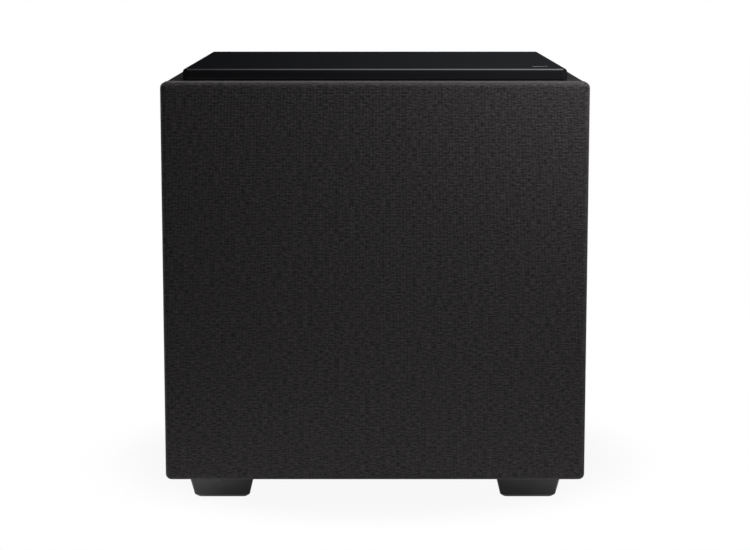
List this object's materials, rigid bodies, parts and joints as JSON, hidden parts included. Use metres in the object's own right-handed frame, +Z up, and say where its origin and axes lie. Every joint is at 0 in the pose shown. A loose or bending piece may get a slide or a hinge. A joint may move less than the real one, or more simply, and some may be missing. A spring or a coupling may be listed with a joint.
{
  "type": "active subwoofer",
  "caption": "Cube-shaped active subwoofer with a pull-off cloth grille, a gloss top plate, block feet, a front driver and a rear amplifier with knobs and switches.",
  "frame": {"origin": "on the floor, under the middle of the whole object's box", "axes": "+Z up, +Y towards the rear amplifier, +X to the right as the listener sees it; the grille faces -Y"},
  "size_m": [0.36, 0.395, 0.375],
  "materials": {
    "cloth": "tight black speaker cloth",
    "vinyl": "satin black vinyl wrap over board",
    "gloss": "black piano lacquer",
    "satin_black": "satin moulded black",
    "board": "raw fibreboard",
    "fibre": "polyester wadding",
    "rubber": "black rubber",
    "paper": "black pulp cone",
    "spider": "varnished cotton",
    "former": "polyimide film",
    "copper": "enamelled copper wire",
    "ferrite": "sintered ferrite",
    "steel": "zinc-plated steel",
    "basket": "black powder coat",
    "amp_metal": "fine black powder coat",
    "nylon": "moulded black",
    "circuit": "green solder mask",
    "tape": "yellow winding tape",
    "sleeve": "printed shrink sleeve",
    "gold": "gold plate",
    "lens": "green lens"
  },
  "bodies": {
    "cabinet": {"left_side_panel": "vinyl", "right_side_panel": "vinyl", "top_panel": "vinyl", "bottom_panel": "vinyl", "front_baffle": "vinyl", "rear_panel": "vinyl", "window_brace": "board", "wadding": "fibre", "top_plate": "gloss", "top_plate_strip": "steel", "basket": "basket", "basket_gasket": "rubber", "surround": "rubber", "spider": "spider", "top_washer": "steel", "magnet": "ferrite", "yoke": "steel", "terminal_block": "circuit", "amp_plate": "amp_metal", "heatsink": "amp_metal", "circuit_board": "circuit", "transformer": "tape", "capacitor": "sleeve", "gain_potentiometer": "steel", "crossover_potentiometer": "steel", "phase_switch": "steel", "power_mode_switch": "steel", "rocker_bezel": "nylon", "mains_inlet": "nylon", "line_jacks": "gold", "status_light": "lens", "speaker_cable": "rubber", "foot_front_left": "satin_black", "foot_pad_front_left": "rubber", "foot_front_right": "satin_black", "foot_pad_front_right": "rubber", "foot_rear_left": "satin_black", "foot_pad_rear_left": "rubber", "foot_rear_right": "satin_black", "foot_pad_rear_right": "rubber", "peg_socket_lower_left": "rubber", "peg_socket_lower_right": "rubber", "peg_socket_upper_left": "rubber", "peg_socket_upper_right": "rubber"},
    "grille": {"grille_frame": "satin_black", "grille_cloth": "cloth", "grille_peg_lower_left": "nylon", "grille_peg_lower_right": "nylon", "grille_peg_upper_left": "nylon", "grille_peg_upper_right": "nylon"},
    "moving_cone": {"cone": "paper", "dust_cap": "paper", "former": "former", "voice_coil": "copper"},
    "gain_control": {"gain_knob": "nylon"},
    "crossover_control": {"crossover_knob": "nylon"},
    "phase_control": {"phase_slider": "nylon"},
    "power_mode_control": {"power_mode_slider": "nylon"},
    "mains_rocker": {"rocker": "nylon"},
    "fuse_carrier": {"fuse_drawer": "nylon"}
  },
  "joints": [
    {"name": "grille_pull", "type": "slide", "parent": "cabinet", "child": "grille", "axis": [0, -1, 0], "range_m": [0, 0.15]},
    {"name": "cone_stroke", "type": "slide", "parent": "cabinet", "child": "moving_cone", "axis": [0, -1, 0], "range_m": [-0.01, 0.01], "stiffness_N_per_m": 4500, "deforming": ["surround", "spider"]},
    {"name": "gain_turn", "type": "hinge", "parent": "cabinet", "child": "gain_control", "pos_m": [0.066, 0.1855, 0.196], "axis": [0, 1, 0], "range_deg": [-150, 150]},
    {"name": "crossover_turn", "type": "hinge", "parent": "cabinet", "child": "crossover_control", "pos_m": [0.014, 0.1855, 0.196], "axis": [0, 1, 0], "range_deg": [-150, 150]},
    {"name": "phase_slide", "type": "slide", "parent": "cabinet", "child": "phase_control", "axis": [1, 0, 0], "range_m": [0, 0.004]},
    {"name": "power_mode_slide", "type": "slide", "parent": "cabinet", "child": "power_mode_control", "axis": [1, 0, 0], "range_m": [-0.004, 0.004]},
    {"name": "rocker_tilt", "type": "hinge", "parent": "cabinet", "child": "mains_rocker", "pos_m": [-0.008, 0.1855, 0.1], "axis": [1, 0, 0], "range_deg": [0, 20]},
    {"name": "fuse_drawer_pull", "type": "slide", "parent": "cabinet", "child": "fuse_carrier", "axis": [0, 1, 0], "range_m": [0, 0.018]}
  ]
}
